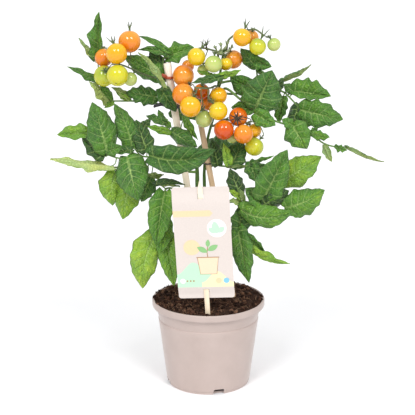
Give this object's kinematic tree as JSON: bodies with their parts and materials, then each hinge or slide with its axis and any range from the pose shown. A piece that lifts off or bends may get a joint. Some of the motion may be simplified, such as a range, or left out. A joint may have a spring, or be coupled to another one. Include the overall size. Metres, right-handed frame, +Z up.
{
  "type": "potted tomato plant",
  "caption": "Bushy cherry tomato plant in a round nursery pot of peat, tied to crossed wooden canes, with ripening fruit trusses and a label card on a flat stick.",
  "frame": {"origin": "centre of the pot's underside", "axes": "+Z up along the pot's axis, the label's printed side towards -Y, +X to the viewer's right"},
  "size_m": [0.3673, 0.2037, 0.4265],
  "materials": {
    "pot": "satin, faintly mottled",
    "peat": "loose and matt",
    "pale_wood": "bare",
    "tan_wood": "bare",
    "stem": "matt with fine hairs",
    "orange_plastic": "satin",
    "black_plastic": "satin",
    "card": "matt print",
    "leaf": "satin with sunken veins",
    "calyx": "matt with fine hairs",
    "fruit_red": "glossy skin",
    "fruit_orange": "glossy skin",
    "fruit_amber": "glossy skin",
    "fruit_yellow": "glossy skin",
    "fruit_lime": "glossy skin",
    "fruit_green": "glossy skin"
  },
  "bodies": {
    "root": {"pot": "pot", "soil": "peat", "cane_left": "pale_wood", "cane_right": "tan_wood", "stem": "stem", "tie_orange": "orange_plastic", "tie_black": "black_plastic", "tie_wire": "black_plastic", "label_card": "card", "label_stick": "pale_wood", "leaf_upper_left": "leaf", "leaf_top_left": "leaf", "leaf_between_trusses": "leaf", "leaf_right_long": "leaf", "leaf_right_upper": "leaf", "leaf_top_right": "leaf", "leaf_right_middle": "leaf", "leaf_right_lower": "leaf", "leaf_left_middle": "leaf", "leaf_left_centre": "leaf", "leaf_centre_small": "leaf", "leaf_left_lower": "leaf", "leaf_below_truss": "leaf", "leaf_back_upper": "leaf", "leaf_back_lower": "leaf", "truss_left": "calyx", "fruit_left_1": "fruit_orange", "fruit_left_2": "fruit_amber", "fruit_left_3": "fruit_orange", "fruit_left_4": "fruit_lime", "fruit_left_5": "fruit_lime", "fruit_left_6": "fruit_green", "truss_top": "calyx", "fruit_top_1": "fruit_yellow", "fruit_top_2": "fruit_green", "fruit_top_3": "fruit_yellow", "fruit_top_4": "fruit_orange", "fruit_top_5": "fruit_orange", "fruit_top_6": "fruit_green", "truss_middle": "calyx", "fruit_middle_1": "fruit_orange", "fruit_middle_2": "fruit_orange", "fruit_middle_3": "fruit_amber", "fruit_middle_4": "fruit_green", "fruit_middle_5": "fruit_yellow", "fruit_middle_6": "fruit_amber", "fruit_middle_7": "fruit_red", "fruit_middle_8": "fruit_orange", "truss_right": "calyx", "fruit_right_1": "fruit_red", "fruit_right_2": "fruit_orange", "fruit_right_3": "fruit_red", "fruit_right_4": "fruit_lime", "fruit_right_5": "fruit_amber", "fruit_right_6": "fruit_green", "truss_top_right": "calyx", "fruit_top_right_1": "fruit_amber", "fruit_top_right_2": "fruit_orange", "fruit_top_right_3": "fruit_lime", "fruit_top_right_4": "fruit_green"}
  },
  "joints": []
}
